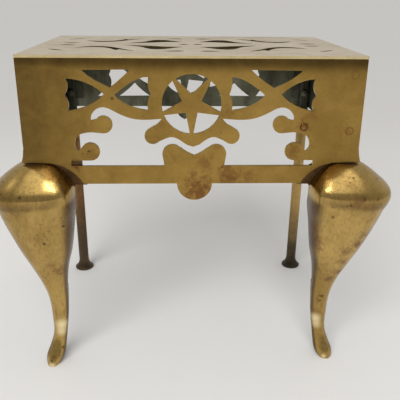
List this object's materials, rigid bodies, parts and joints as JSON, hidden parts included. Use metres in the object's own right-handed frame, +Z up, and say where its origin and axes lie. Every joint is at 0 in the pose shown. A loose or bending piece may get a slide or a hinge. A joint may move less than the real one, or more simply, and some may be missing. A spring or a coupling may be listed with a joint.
{
  "type": "brass trivet",
  "caption": "Brass trivet: a pierced rectangular plate on a fish-and-star frieze, with cast cabriole front legs and plain rear rods on penny feet, to stand a kettle by the fire.",
  "frame": {"origin": "on the floor, below the middle of the trivet's bounding box", "axes": "+X to the right along the plate's long side, +Y from the apron to the back, +Z up"},
  "size_m": [0.3701, 0.2619, 0.3135],
  "materials": {
    "plate_brass": "worn polish, paler than the frieze",
    "apron_brass": "old polish with brown tarnish",
    "tarnished_brass": "dark unpolished sheet",
    "side_brass": "old polish",
    "cast_brass": "polished casting with small pits",
    "rod_brass": "dull, browned",
    "rivet_brass": "filed flush"
  },
  "bodies": {
    "root": {"top_plate": "plate_brass", "front_apron": "apron_brass", "back_panel": "tarnished_brass", "side_panel_left": "side_brass", "side_panel_right": "side_brass", "front_leg_left": "cast_brass", "front_leg_right": "cast_brass", "rear_leg_left": "rod_brass", "rear_leg_right": "rod_brass", "apron_rivet_left_lower": "rivet_brass", "apron_rivet_left_upper": "rivet_brass", "apron_rivet_right_lower": "rivet_brass", "apron_rivet_right_upper": "rivet_brass", "front_leg_rivet_left_apron": "rivet_brass", "front_leg_rivet_left_side": "rivet_brass", "front_leg_rivet_right_apron": "rivet_brass", "front_leg_rivet_right_side": "rivet_brass", "plate_rivet_back_1": "rivet_brass", "plate_rivet_back_2": "rivet_brass", "plate_rivet_back_3": "rivet_brass", "plate_rivet_front_1": "rivet_brass", "plate_rivet_front_2": "rivet_brass", "plate_rivet_front_3": "rivet_brass", "plate_rivet_left_1": "rivet_brass", "plate_rivet_left_2": "rivet_brass", "plate_rivet_right_1": "rivet_brass", "plate_rivet_right_2": "rivet_brass", "rear_leg_rivet_left_lower": "rivet_brass", "rear_leg_rivet_left_upper": "rivet_brass", "rear_leg_rivet_right_lower": "rivet_brass", "rear_leg_rivet_right_upper": "rivet_brass", "scroll_mend_rivet": "rivet_brass"}
  },
  "joints": []
}
